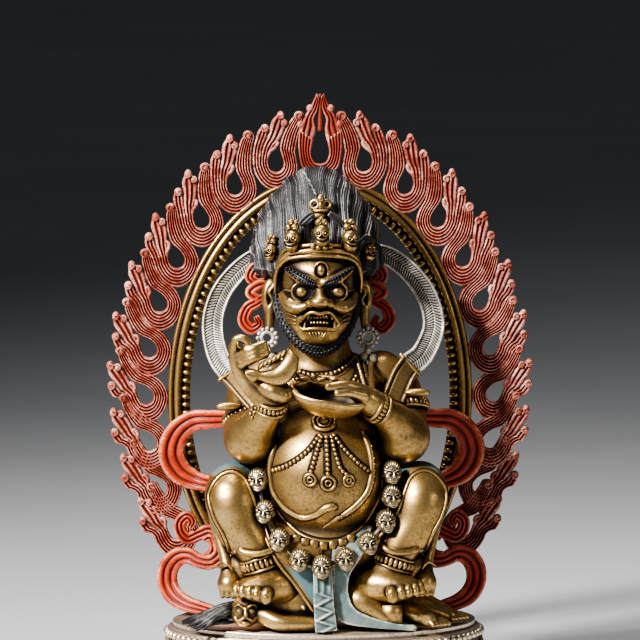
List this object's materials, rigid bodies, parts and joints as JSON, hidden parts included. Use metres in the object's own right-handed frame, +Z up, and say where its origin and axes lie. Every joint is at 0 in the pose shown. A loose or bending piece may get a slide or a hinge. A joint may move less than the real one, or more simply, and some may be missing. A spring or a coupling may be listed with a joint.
{
  "type": "mahakala figure",
  "caption": "Squatting pot-bellied guardian deity in cast metal with knife and skull cup, on a recumbent body, with flame ring and oval lotus plinth.",
  "frame": {"origin": "centre of the plinth's underside, which is the bottom centre of the bounding box", "axes": "+Z up, -Y the way the figure faces, +X to its left hand, a viewer's right"},
  "size_m": [0.2172, 0.124, 0.3007],
  "materials": {
    "gilt_bronze": "worn gilding over brown-black patina",
    "plinth_bronze": "worn gilding over dark patina",
    "red_paint": "matt red paint, worn pale on the ridges",
    "dark_hair": "dark grey wash, pale on the ridges",
    "silvered": "tarnished silver wash",
    "blue_green": "thin blue-green wash over bronze"
  },
  "bodies": {
    "root": {"mahakala_figure": "gilt_bronze", "flame_aureole": "red_paint", "lotus_plinth": "plinth_bronze"}
  },
  "joints": []
}
